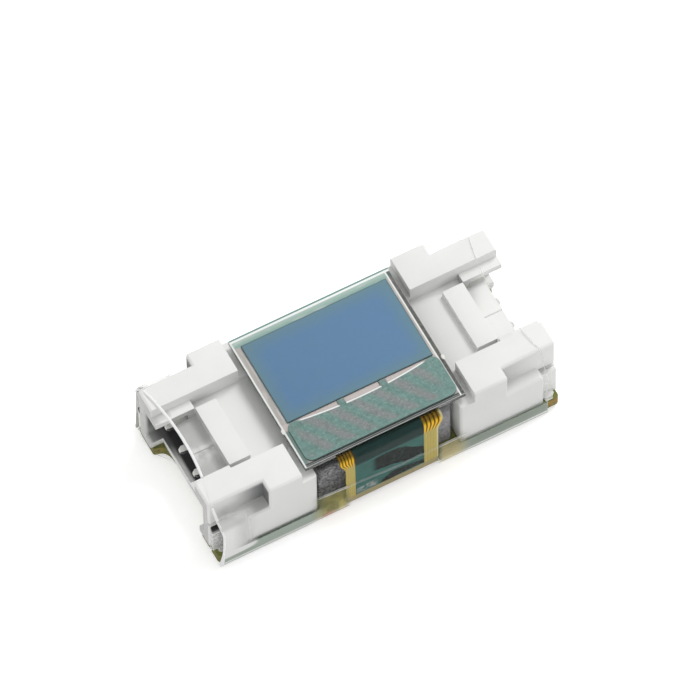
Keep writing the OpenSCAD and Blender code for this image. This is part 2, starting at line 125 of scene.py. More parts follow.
class HousingSettings(bpy.types.PropertyGroup):
    nylon: colour_prop("Nylon", "Colour of the socket housings", srgb(243, 243, 241))
    # Colour of the painted shade in the housings' corners and recesses.
    shade: colour_prop("Shade", "Colour deep in the housings' corners", srgb(96, 96, 98))
    edge: length_prop("Edge", "Rounding of the housings' moulded edges", 0.09)
    grain: share_prop("Grain", "Strength of the moulded surface's fine grain", 0.12)


class MetalSettings(bpy.types.PropertyGroup):
    tin: colour_prop("Tin", "Colour of the board parts' tinned ends", srgb(222, 222, 216))
    solder: colour_prop("Solder", "Colour of the solder joints", srgb(236, 236, 232))
    fillet: length_prop("Fillet", "Width of the solder around a tab's foot", 0.14)
    bead: length_prop("Bead", "Diameter of the solder bead at a tab's tip", 0.28)


class BoardSettings(bpy.types.PropertyGroup):
    mask: colour_prop("Solder mask", "Colour of the board's faces", srgb(126, 132, 56))
    laminate: colour_prop("Laminate", "Colour of the board's cut edges", srgb(140, 134, 66))
    amber: colour_prop("Amber", "Colour of the resin patches on the cut edges",
                       srgb(168, 108, 22))
    copper: colour_prop("Plated copper", "Colour of bare plated pads", srgb(214, 178, 96))
    via: length_prop("Via", "Outer diameter of a plated through hole", 0.5)
    drill: length_prop("Drill", "Diameter of a plated hole's bore", 0.26)


class DisplaySettings(bpy.types.PropertyGroup):
    film: colour_prop("Viewing film", "Colour of the viewing film's middle", srgb(93, 131, 168))
    film_edge: colour_prop("Film edge", "Colour near the viewing film's edges",
                           srgb(104, 138, 146))
    ledge: colour_prop("Ledge film", "Colour of the film over the chip ledge",
                       srgb(118, 153, 146))
    stripe: colour_prop("Stripes", "Colour of the slanted tracks under that film",
                        srgb(138, 143, 143))
    border: colour_prop("Glass border", "Colour of the sealed border of the glass",
                        srgb(184, 180, 175))
    border_green: colour_prop("Green border", "Colour of the glass beside the ledge film",
                              srgb(98, 130, 124))
    glass_edge: length_prop("Glass edge", "Width of the ground edge of the glass", 0.07)
    drop: length_prop("Sealing drop", "Diameter of the sealing drops at the glass sides", 0.3)


class FlexSettings(bpy.types.PropertyGroup):
    cover: colour_prop("Cover", "Colour of the flex tail's coated middle", srgb(56, 98, 92))
    amber: colour_prop("Amber", "Colour of the bare film at the flex tail's sides",
                       srgb(196, 178, 100))
    copper: colour_prop("Tracks", "Colour of the tracks that fan out on the film",
                        srgb(255, 204, 48))
    tracks: IntProperty(name="Tracks", description="Number of tracks in each fan",
                        default=5, min=2, max=8)


class FoamSettings(bpy.types.PropertyGroup):
    foam: colour_prop("Foam", "Colour of the pad under the display", srgb(142, 141, 144))
    pore: length_prop("Pore", "Typical size of the foam's open cells", 0.16)


class SleeveSettings(bpy.types.PropertyGroup):
    tint: colour_prop("Tint", "Colour of the clear sleeve seen edge on", srgb(164, 178, 164))
    haze: share_prop("Haze", "How much the clear sleeve veils what is behind it", 0.008)
    fold: share_prop("Fold", "How much the folded lower edges veil what is behind them", 0.86)
    rim: length_prop("Rim", "Thickness of the rolled rim at the left end", 0.2)
    rim_right: length_prop("Right rim", "Thickness of the rolled rim at the right end", 0.055)


class StageSettings(bpy.types.PropertyGroup):
    floor: colour_prop("Floor", "Colour of the floor and backdrop", (0.9, 0.9, 0.9))
    sky: FloatProperty(name="Sky", description="Strength of the even studio light",
                       default=0.62, min=0)
    key: FloatProperty(name="Key", description="Power of the key light", default=1.1, min=0,
                       unit="POWER")
    fill: FloatProperty(name="Fill", description="Power of the fill light", default=0.08, min=0,
                        unit="POWER")


SETTINGS = {
    "module_housing": HousingSettings, "module_metal": MetalSettings,
    "module_board": BoardSettings, "module_display": DisplaySettings,
    "module_flex": FlexSettings, "module_foam": FoamSettings,
    "module_sleeve": SleeveSettings, "module_stage": StageSettings,
}


# ------------------------------------------------------------------ shader writing

def operation(name, swapped=False):
    """A method that makes a Math node from a value and another value or number."""
    def made(self, other):
        return self.math(name, other, self) if swapped else self.math(name, self, other)
    return made


class Value:
    """A node's output that Python expressions can use. Numbers become Math nodes."""

    __add__, __radd__ = operation("ADD"), operation("ADD", True)
    __sub__, __rsub__ = operation("SUBTRACT"), operation("SUBTRACT", True)
    __mul__, __rmul__ = operation("MULTIPLY"), operation("MULTIPLY", True)
    __truediv__ = operation("DIVIDE")
    __pow__ = operation("POWER")
    __mod__ = operation("FLOORED_MODULO")
    at_least = operation("MAXIMUM")
    at_most = operation("MINIMUM")

    def __init__(self, paint, socket):
        self.paint = paint
        self.socket = socket

    def math(self, name, *operands, clamp=False):
        settings = {"operation": name, "use_clamp": clamp}
        return self.paint.node("ShaderNodeMath", settings, dict(enumerate(operands)))

    def __abs__(self):
        return self.math("ABSOLUTE", self)

    def clip(self):
        return self.math("ADD", self, 0.0, clamp=True)

    def rise(self, low, high):
        """0 below low, 1 above high and a smooth step between them."""
        settings = {"interpolation_type": "SMOOTHSTEP"}
        return self.paint.node("ShaderNodeMapRange", settings,
                               {"Value": self, "From Min": low, "From Max": high})

    def fall(self, low, high):
        """1 below low, 0 above high and a smooth step between them."""
        return 1 - self.rise(low, high)

    def within(self, low, high, soft):
        """1 between low and high, with soft edges centred on them."""
        return (self.rise(low - soft / 2, low + soft / 2)
                * self.fall(high - soft / 2, high + soft / 2))


class Paint:
    """One material, written from the surface's own place and direction in millimetres."""

    def __init__(self, name):
        self.material = bpy.data.materials.new(name)
        self.material.use_nodes = True
        self.tree = self.material.node_tree
        self.tree.nodes.clear()
        self.output = self.tree.nodes.new("ShaderNodeOutputMaterial")
        coordinates = self.tree.nodes.new("ShaderNodeTexCoord")
        self.place = self.node("ShaderNodeVectorMath", {"operation": "SCALE"},
                               {0: Value(self, coordinates.outputs["Object"]),
                                "Scale": 1 / MM})
        self.x, self.y, self.z = self.split(self.place)
        self.nx, self.ny, self.nz = self.split(Value(self, coordinates.outputs["Normal"]))

    def node(self, kind, settings=None, inputs=None, output=0):
        """Makes a node of any type from its settings and inputs and returns one output."""
        made = self.tree.nodes.new(kind)
        for name, setting in (settings or {}).items():
            setattr(made, name, setting)
        for name, given in (inputs or {}).items():
            self.feed(made.inputs[name], given)
        return Value(self, made.outputs[output])

    def feed(self, socket, given):
        """Links a value to a socket, or sets it; a colour gets its alpha where one is due."""
        if isinstance(given, Value):
            self.tree.links.new(given.socket, socket)
        elif socket.type == "RGBA" and len(given) == 3:
            socket.default_value = (*given, 1)
        else:
            socket.default_value = given

    def split(self, vector):
        parts = self.node("ShaderNodeSeparateXYZ", None, {0: vector})
        return [Value(self, output) for output in parts.socket.node.outputs]

    def mix(self, factor, first, second):
        """Colour first where factor is 0 and second where it is 1."""
        made = self.tree.nodes.new("ShaderNodeMix")
        made.data_type = "RGBA"
        made.clamp_factor = True
        for index, given in ((0, factor), (6, first), (7, second)):
            self.feed(made.inputs[index], given)
        return Value(self, made.outputs[2])

    def layered(self, colour, *layers):
        """A colour with others over it, each where its own mask is 1."""
        for mask, over in layers:
            colour = self.mix(mask, colour, over)
        return colour

    def noise(self, size, detail=3, roughness=0.5, stretch=None):
        """Soft noise from 0 to 1 whose features are about size millimetres across."""
        place = self.place
        if stretch:
            place = self.node("ShaderNodeVectorMath", {"operation": "MULTIPLY"},
                              {0: place, 1: stretch})
        return self.node("ShaderNodeTexNoise", None,
                         {"Vector": place, "Scale": 1 / size, "Detail": detail,
                          "Roughness": roughness})

    def cells(self, size):
        """Distance to the nearest of scattered points, about size millimetres apart."""
        return self.node("ShaderNodeTexVoronoi", None, {"Vector": self.place, "Scale": 1 / size})

    def hollow(self, reach):
        """0 in the open and up to 1 deep in the piece's own corners, reach mm across."""
        open_sky = self.node("ShaderNodeAmbientOcclusion", {"samples": 12, "only_local": True},
                             {"Distance": reach * MM}, "AO")
        return 1 - open_sky

    def bump(self, height, depth, base=None):
        """Normal of a surface raised by height, which runs from 0 to 1, times depth in mm."""
        inputs = {"Height": height, "Strength": 1.0, "Distance": depth * MM}
        if base:
            inputs["Normal"] = base
        return self.node("ShaderNodeBump", None, inputs)

    def surface(self, **inputs):
        """A Principled surface; names are the sockets' names with _ for a space."""
        named = {name.replace("_", " "): given for name, given in inputs.items()}
        return self.node("ShaderNodeBsdfPrincipled", None, named)

    def done(self, shader):
        self.tree.links.new(shader.socket, self.output.inputs["Surface"])
        return self.material

    def finished(self, **inputs):
        """The material, as one Principled surface."""
        return self.done(self.surface(**inputs))

    def veiled(self, veil, **inputs):
        """The material, as a surface where veil is 1 and clear where it is 0."""
        clear = self.node("ShaderNodeBsdfTransparent")
        return self.done(self.node("ShaderNodeMixShader", None,
                                   {0: veil, 1: clear, 2: self.surface(**inputs)}))


# ------------------------------------------------------------------ mesh making

def merged(data):
    """A bmesh copy of a mesh, its loose triangles joined at their corners."""
    mesh = bmesh.new()
    mesh.from_mesh(data)
    bmesh.ops.remove_doubles(mesh, verts=mesh.verts, dist=MERGE * MM)
    return mesh


def copied(node):
    """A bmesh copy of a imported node, with its flat stretches joined into clean faces."""
    mesh = merged(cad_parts[node].data)
    bmesh.ops.dissolve_limit(mesh, angle_limit=math.radians(0.4), verts=mesh.verts,
                             edges=mesh.edges)
    return mesh


def soften(mesh, width, segments=2, angle=35):
    """Rounds every edge that turns by more than angle, by width in millimetres."""
    edges = [edge for edge in mesh.edges
             if edge.is_manifold and edge.calc_face_angle(0) > math.radians(angle)]
    bmesh.ops.bevel(mesh, geom=edges, offset=width * MM, offset_type="OFFSET", affect="EDGES",
                    segments=segments, profile=0.5, material=-1, clamp_overlap=True)
    return mesh


def block(low, high):
    """A box between two corners in millimetres."""
    mesh = bmesh.new()
    low, high = Vector(low) * MM, Vector(high) * MM
    made = bmesh.ops.create_cube(mesh, size=1)
    bmesh.ops.scale(mesh, vec=high - low, verts=made["verts"])
    bmesh.ops.translate(mesh, vec=(low + high) / 2, verts=made["verts"])
    return mesh


def ball(mesh, radius, stretch, place, facets=18):
    """Adds a stretched ball to a mesh, all in the mesh's own unit."""
    made = bmesh.ops.create_uvsphere(mesh, u_segments=facets, v_segments=12, radius=radius)
    bmesh.ops.scale(mesh, vec=stretch, verts=made["verts"])
    bmesh.ops.translate(mesh, vec=place, verts=made["verts"])


def linked(name, data):
    """A new object in the scene for a mesh, a lamp or a camera."""
    made = bpy.data.objects.new(name, data)
    bpy.context.scene.collection.objects.link(made)
    return made


def placed(name, mesh, material):
    """A new object in the scene for a bmesh, which it uses up."""
    data = bpy.data.meshes.new(name)
    mesh.to_mesh(data)
    mesh.free()
    data.materials.append(material)
    return linked(name, data)


def piece(mesh, name, material, replaced=(), smooth_angle=38):
    """Turns a bmesh into a piece of the object that rides on its one body."""
    for face in mesh.faces:
        face.smooth = True
    for edge in mesh.edges:
        edge.smooth = not edge.is_manifold or edge.calc_face_angle(0) < math.radians(smooth_angle)
    made = placed(name, mesh, material)
    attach(made, "root")
    if replaced:
        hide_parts(*replaced)
    return made


def dressed(node, name, edge, material, slot, segments=2):
    """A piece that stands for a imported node: its copy with edges rounded by edge."""
    return piece(soften(copied(node), edge, segments), name, material, [node])


def dress(node, material):
    """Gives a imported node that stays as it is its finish."""
    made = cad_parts[node]
    made.data.materials.clear()
    made.data.materials.append(material)


# ------------------------------------------------------------------ finishes

def nylon_finish(settings):
    """Matt white nylon, with painted shade where a socket is deep and the light doesn't reach."""
    paint = Paint("moulded_nylon")
    x, y, z = paint.x, paint.y, paint.z
    cloud = paint.noise(2.2, 4)
    grain = paint.noise(0.09, 3, 0.6)
    inward = abs(corners("left_socket_housing")[0].x) - abs(x)
    height = z - corners("circuit_board")[1].z
    across = abs(y)
    level = paint.nz.rise(0.7, 0.9)
    on_left = x.fall(-1.0, 1.0)

    # Painted shade: corner darkens the housing's hollows by their own occlusion, less on the rear floor
    # and on the rib.
    rear_floor = (inward.rise(BAR_END + 0.1, BAR_END + 1.1) * level
                  * height.within(RECESS_FLOOR - 0.25, RECESS_FLOOR + 0.45, 0.2))
    rib = (inward.within(POCKET_START - 0.15, BAR_END - 0.1, 0.1) * across.fall(0.3, 0.4)
           * height.within(POCKET_FLOOR - 0.35, POCKET_FLOOR + 0.25, 0.1))
    corner = paint.hollow(1.3).rise(0.3, 1.0) * (1 - 0.8 * rear_floor) * (1 - rib)

    # Painted shade in the latch pockets: the left one in the bar's shadow, broken by a painted lit
    # streak, the right one only near the bar.
    pocket = (inward.within(POCKET_START - 0.15, BAR_START + 0.05, 0.04) * y.within(-2.5, 3.3, 0.04)
              * height.within(POCKET_FLOOR - 0.15, LIP_TOP - 0.03, 0.06))
    lit_streak = y.within(-1.0, 0.3, 0.8) * paint.noise(0.8, 3).rise(0.35, 0.6)
    near_bar = ((BAR_START + 0.15 - inward) * 0.5 + (2.6 - y) * 0.3).fall(0.1, 1.0)

    # Painted shade in the nook beside the step, on the flange's top and on the left mouth face.
    before_step = inward.fall(STEP_DEPTH + 0.02, STEP_DEPTH + 0.05)
    beside_wall = across.rise(SHOULDER_Y - 0.25, SHOULDER_Y - 0.15)
    nook_shade = (inward.rise(1.4, STEP_DEPTH - 0.05) * before_step * beside_wall
            * height.within(FLANGE_TOP + 0.1, 5.4, 0.5))
    flange_shade = (inward.rise(0.8, 3.6) * before_step * beside_wall * level
              * height.within(FLANGE_TOP - 0.1, FLANGE_TOP + 0.1, 0.1))
    mouth = abs(paint.nx).rise(0.8, 0.95) * inward.fall(0.1, 0.3)

    # Painted shade deep in the plug's space, darker in the left keyway the deeper it goes, and on the
    # left lip's top.
    plug_space_shade = (inward.within(POCKET_START - 0.05, REAR_WALL + 0.05, 0.3)
                  * across.fall(WALL_Y, WALL_Y + 0.1) * height.within(-1.0, PLUG_TOP + 0.15, 0.05))
    keyway_shade = (inward.rise(0.05, 0.35) * inward.fall(POCKET_START + 0.05, POCKET_START + 0.15)
              * y.rise(1.0, 3.0) * y.fall(WALL_Y, WALL_Y + 0.1)
              * height.within(PLUG_FLOOR - 0.15, POCKET_FLOOR + 0.15, 0.1) * on_left)
    deep = (inward.rise(0.2, 1.1) + height.rise(1.0, 2.6)).clip()
    lip_top_shade = (inward.fall(POCKET_START - 0.15, POCKET_START + 0.05)
               * y.within(2.6, SHOULDER_Y - 0.1, 0.2) * paint.nz.rise(0.6, 0.9)
               * height.within(LIP_TOP - 0.75, LIP_TOP + 0.15, 0.1) * on_left)

    # A darker copy of the nylon, used for painted shade.
    shaded_nylon = toned(settings.nylon, 0.6)
    colour = paint.layered(
        settings.nylon,
        (cloud.rise(0.35, 0.75) * 0.5, toned(settings.nylon, 0.95)),
        (corner * 0.5, settings.shade),
        (pocket * on_left * (0.95 - 0.6 * lit_streak), shaded_nylon),
        (pocket * (1 - on_left) * near_bar, shaded_nylon),
        (nook_shade * (0.3 + 0.6 * on_left), settings.shade),
        ((0.25 * flange_shade + 0.4 * mouth) * on_left, settings.shade),
        (plug_space_shade, srgb(58, 58, 60)),
        (keyway_shade * 0.92, paint.mix(deep, srgb(152, 155, 152), srgb(72, 73, 75))),
        (lip_top_shade * (0.25 + 0.5 * y.rise(3.2, 4.4)), srgb(140, 140, 138)))
    flow = paint.noise(1.4, 2, stretch=(0.4, 1.0, 1.0))
    return paint.finished(Base_Color=colour, Roughness=0.42 + 0.12 * grain + 0.08 * cloud,
                          Normal=paint.bump(grain, 0.02 * settings.grain, paint.bump(flow, 0.02)),
                          Specular_IOR_Level=0.35)


def solder_finish(settings):
    """Bright solder with soft dimples."""
    paint = Paint("solder")
    cloud = paint.noise(0.5, 4, 0.6)
    lines = paint.noise(0.05, 3, stretch=(0.08, 1.0, 1.0))
    colour = paint.mix(cloud.rise(0.4, 0.8), settings.solder, toned(settings.solder, 0.72))
    return paint.finished(Base_Color=colour, Metallic=0.8,
                          Roughness=0.22 + 0.16 * (cloud - 0.5) + 0.1 * lines,
                          Normal=paint.bump(lines, 0.004, paint.bump(cloud, 0.03)))


def tab_finish(side):
    """Speckled tin plate; a left tab is a darker, shaded copy, with painted shadow at its top and along
    its foot.
    """
    low, high = corners(f"{side}_solder_tab_front")
    paint = Paint(f"{side}_tab_tin")
    speckle = paint.noise(0.12, 2, 0.8).rise(0.42, 0.6)
    # A left tab's plate is a painted-shade copy of the right one's.
    plate = srgb(198, 198, 196) if side == "left" else srgb(236, 236, 234)
    colour = paint.mix(speckle, plate, srgb(248, 248, 246))
    if side == "left":
        # Painted shadow along the left tab's foot and at its top, under the slot.
        foot = paint.z.fall(low.z + 0.1, low.z + 0.2) * paint.x.rise(low.x + 0.4, low.x + 0.6)
        dark = (paint.z.rise(high.z - 0.26, high.z - 0.18) + foot).clip()
        colour = paint.layered(
            colour,
            (paint.z.rise(high.z - 0.5, high.z - 0.4) * 0.6, srgb(90, 90, 90)),
            (dark * 0.95, srgb(16, 16, 17)))
    return paint.finished(Base_Color=colour, Metallic=0.1, Roughness=0.4 + 0.1 * speckle,
                          Normal=paint.bump(speckle, 0.01), Specular_IOR_Level=0.3)


def pin_finish(colour, side):
    """Bright tin on top of a pin, dark on the side turned away from the light."""
    paint = Paint(f"{side}_pin_tin")
    cloud = paint.noise(0.3, 3)
    shaded = (0.0 - paint.ny).rise(0.4, 0.8) * (1.0 if side == "left" else 0.2)
    colour = paint.layered(colour, (cloud * 0.4, toned(colour, 0.8)), (shaded, srgb(24, 24, 25)))
    return paint.finished(Base_Color=colour, Metallic=0.3 * (1 - shaded),
                          Roughness=0.3 + 0.1 * cloud, Normal=paint.bump(cloud, 0.01))


def board_finish(settings):
    """Olive solder mask on the faces, olive laminate with amber patches on the cut edges."""
    paint = Paint("masked_board")
    face = abs(paint.nz).rise(0.55, 0.75)
    cloud = paint.noise(1.1, 4)
    tracks = (paint.x * 1.15 + paint.noise(2.6, 1) * 5) % 1.0
    track = tracks.within(0.35, 0.65, 0.12) * paint.noise(1.7, 1).rise(0.45, 0.55)
    dark = toned(settings.mask, 0.72)
    far_left = paint.y.rise(1.0, 4.0) * paint.x.fall(-12.0, -10.0)
    mask = paint.layered(
        dark,
        (cloud, settings.mask),
        (track * 0.6, toned(settings.mask, 1.3)),
        (far_left * 0.6, srgb(62, 60, 6)),
        (paint.noise(0.22, 4, 0.7).rise(0.52, 0.7) * 0.5, dark))
    weave = paint.noise(0.16, 4, 0.6, stretch=(0.5, 0.5, 1.4))
    at_end = abs(paint.nx).rise(0.4, 0.8)
    edge = paint.layered(
        toned(settings.laminate, 0.5),
        (weave.rise(0.3, 0.7), toned(settings.laminate, 1.35)),
        (paint.noise(0.9, 3).rise(0.5, 0.62) * (0.8 - 0.6 * at_end), settings.amber),
        (at_end * paint.x.fall(0, 1) * 0.7, srgb(86, 92, 22)))
    normal = paint.bump(track * face, 0.02, paint.bump(paint.noise(0.12, 3), 0.006))
    return paint.finished(Base_Color=paint.mix(face, edge, mask),
                          Roughness=0.62 - 0.3 * face + 0.1 * cloud, Normal=normal,
                          Coat_Weight=0.3 * face, Coat_Roughness=0.12)


def plated_finish(settings):
    paint = Paint("plated_copper")
    cloud = paint.noise(0.4, 3)
    return paint.finished(Base_Color=paint.mix(cloud, settings.copper, toned(settings.copper, 1.15)),
                          Metallic=1.0, Roughness=0.28 + 0.2 * cloud,
                          Normal=paint.bump(paint.noise(0.06, 3), 0.004))


def chip_finish(name, colour, roughness, grain):
    """Moulded compound, resin or silicon: an even colour broken by fine grain."""
    paint = Paint(name)
    speckle = paint.noise(grain, 4, 0.7)
    colour = paint.mix(speckle.rise(0.45, 0.75), colour, toned(colour, 1.3))
    return paint.finished(Base_Color=colour, Roughness=roughness + 0.15 * speckle,
                          Normal=paint.bump(speckle, 0.01))


def part_ends_finish(node, colour, tin):
    """A chip part's body colour with tinned ends, told apart by length."""
    low, high = corners(node)
    end = (high.x - low.x) / 5
    paint = Paint(node + "_finish")
    metal = 1 - paint.x.within(low.x + end, high.x - end, 0.02)
    cloud = paint.noise(0.2, 3)
    return paint.finished(Base_Color=paint.mix(metal, colour, tin), Metallic=metal,
                          Roughness=0.5 - 0.2 * metal + 0.1 * cloud,
                          Normal=paint.bump(cloud, 0.01))


def film_finish(settings):
    """Grey-blue viewing film that turns green towards its edges."""
    low, high = corners("viewing_film")
    paint = Paint("viewing_film")
    x, y = paint.x, paint.y
    out, fade, margin = 0.3, 1.3, 0.05
    middle = (x.rise(low.x - out, low.x + fade) * x.fall(high.x - fade, high.x + out)
              * y.rise(low.y - out, low.y + fade) * y.fall(high.y - fade, high.y + out))
    cloud = paint.noise(0.9, 4, 0.6)
    blotch = paint.noise(0.35, 3, 0.7, stretch=(1.0, 1.6, 1.0))
    speckle = paint.noise(0.08, 2, 0.7)
    rim = 1 - (x.within(low.x + margin, high.x - margin, 0.05)
               * y.within(low.y + margin, high.y - margin, 0.05))
    colour = paint.layered(
        settings.film_edge,
        (middle + 0.5 * (cloud - 0.5), settings.film),
        (speckle.rise(0.5, 0.8) * 0.45 + blotch.rise(0.45, 0.7) * 0.3, toned(settings.film, 1.16)),
        (rim * 0.75, srgb(48, 62, 68)))
    return paint.finished(Base_Color=colour, Roughness=0.3 + 0.1 * speckle,
                          Normal=paint.bump(paint.noise(0.5, 3), 0.003),
                          Specular_IOR_Level=0.4, Coat_Weight=0.3, Coat_Roughness=0.08)


def film_arc():
    """Centre height and radius of the arc along the ledge film's back edge."""
    low, high = corners("viewing_film")
    rise = 0.45
    radius = (((high.x - low.x) / 2) ** 2 + rise ** 2) / (2 * rise)
    return low.y + radius - rise, radius


def ledge_finish(settings):
    """Green film over the chip ledge, with slanted tracks that show through it and a painted highlight
    along its arched back edge.
    """
    low, high = corners("ledge_film")
    view_low, view_high = corners("viewing_film")
    paint = Paint("ledge_film")
    x, y = paint.x, paint.y
    slant, pitch = math.radians(35), 1.28
    across = x * math.cos(slant) + y * math.sin(slant)
    stripe = ((across + paint.noise(1.6, 2) * 0.35) / pitch % 1.0).within(0.25, 0.72, 0.36)
    patchy = paint.noise(0.45, 4, 0.7)
    body = (x.rise(low.x + 0.1, low.x + 0.7) * x.fall(high.x - 1.3, high.x - 0.4)
            * y.rise(low.y + 0.1, low.y + 0.4))
    speckle = paint.noise(0.2, 2, 0.9).rise(0.52, 0.66)
    pits = paint.noise(0.24, 3, 0.9).rise(0.53, 0.64)
    hair = paint.noise(0.3, 4, 0.8, stretch=(0.4, 1.0, 1.0)).within(0.49, 0.51, 0.02)
    centre_y, radius = film_arc()
    dy = y - centre_y
    arc = abs((x * x + dy * dy) ** 0.5 - radius)
    tab_x = (view_high.x - view_low.x) / 7
    clear_of_tabs = 1 - abs(abs(x) - tab_x).within(-1.0, 0.25, 0.02)
    # A painted highlight along the film's arched back edge, clear of the tabs and the ends.
    white = arc.fall(0.1, 0.13) * clear_of_tabs * abs(x).fall(4.4, 4.9)
    colour = paint.layered(
        settings.ledge,
        (patchy.rise(0.35, 0.75), toned(settings.ledge, 0.76)),
        (stripe * body * (0.75 + 0.5 * patchy), settings.stripe),
        (speckle * 0.2, srgb(206, 214, 210)),
        (pits * 0.35, srgb(70, 92, 88)),
        (hair * body * 0.35, srgb(40, 60, 58)),
        (paint.nz.fall(0.8, 0.98) * 0.9, srgb(22, 32, 31)),
        (white, srgb(240, 242, 240)))
    return paint.finished(Base_Color=colour, Roughness=0.28 + 0.12 * patchy,
                          Normal=paint.bump(patchy, 0.004), Specular_IOR_Level=0.4,
                          Coat_Weight=0.25, Coat_Roughness=0.08)


def sealed_glass_finish(settings):
    """Glass with its sealed border: grey at the sides, mint at the back, dark in front, with painted
    highlights along its edges and a painted shadow at its right side.
    """
    low, high = corners("front_glass")
    film_low, film_high = corners("viewing_film")
    ledge_low, ledge_high = corners("ledge_film")
    paint = Paint("sealed_glass")
    x, y = paint.x, paint.y
    cloud = paint.noise(0.8, 3)
    fine = paint.noise(0.12, 3, 0.7)
    streak = paint.noise(0.22, 3, 0.6, stretch=(1.0, 0.12, 1.0))
    brushed = paint.noise(0.3, 3, stretch=(0.2, 1.0, 1.0))
    border = paint.layered(
        settings.border,
        (cloud, toned(settings.border, 0.92)),
        (streak.rise(0.48, 0.62) * 0.6, srgb(222, 218, 214)))
    mint = paint.layered(
        srgb(138, 174, 164),
        (y.rise(film_high.y, film_high.y + 0.5), srgb(172, 194, 186)),
        (brushed.rise(0.5, 0.7) * 0.5, srgb(206, 216, 208)))
    gap = y.within(film_low.y - 0.6, film_low.y + 0.05, 0.08)
    corner = (y.within(ledge_low.y - 1.0, film_low.y - 0.5, 0.3)
              * abs(x).rise(ledge_high.x - 0.4, ledge_high.x))
    beside_ledge = (y.within(ledge_low.y, ledge_high.y - 0.5, 0.2)
                    * x.fall(ledge_low.x, ledge_low.x + 0.1))
    front_line = y.within(low.y + 0.1, low.y + 0.16, 0.03)
    # A near white for painted highlights along the glass's edges.
    edge_glint = srgb(240, 242, 240)
    # The ground edge is painted near white: its frosting, and its highlight.
    ground = abs(paint.nz).within(0.3, 0.93, 0.1)
    colour = paint.layered(
        border,
        (y.rise(film_high.y - 0.05, film_high.y + 0.1), mint),
        (gap * 0.9, srgb(204, 194, 190)),
        (fine.rise(0.55, 0.8) * 0.35, srgb(228, 226, 222)),
        (corner * 0.7, srgb(150, 142, 140)),
        (beside_ledge * 0.85, settings.border_green),
        (y.fall(ledge_low.y - 0.02, ledge_low.y + 0.04), srgb(22, 34, 33)),
        (front_line * (0.4 + 0.5 * cloud), srgb(150, 158, 156)),
        # Painted highlights along the left and right edges, painted shadow in the gap at the right edge,
        # and a painted highlight along the back edge.
        (x.within(low.x + 0.02, low.x + 0.13, 0.04), edge_glint),
        (x.within(high.x - 0.4, high.x - 0.29, 0.04) * 0.9, edge_glint),
        (x.rise(high.x - 0.3, high.x - 0.25) * (0.4 + 0.8 * fine), srgb(36, 40, 40)),
        (y.within(high.y - 0.32, high.y - 0.16, 0.05), srgb(246, 250, 248)),
        (y.rise(high.y - 0.17, high.y - 0.12), srgb(104, 146, 140)),
        (abs(paint.nz).fall(0.2, 0.4), srgb(16, 22, 21)),
        (ground, srgb(246, 246, 244)))
    return paint.finished(Base_Color=colour, Roughness=0.12 + 0.25 * ground,
                          Coat_Weight=0.5, Coat_Roughness=0.03)


def rear_glass_finish():
    paint = Paint("rear_glass")
    cloud = paint.noise(0.8, 3)
    return paint.finished(Base_Color=paint.mix(cloud, srgb(34, 44, 42), srgb(52, 62, 60)),
                          Roughness=0.08 + 0.05 * cloud, Coat_Weight=0.6, Coat_Roughness=0.03)


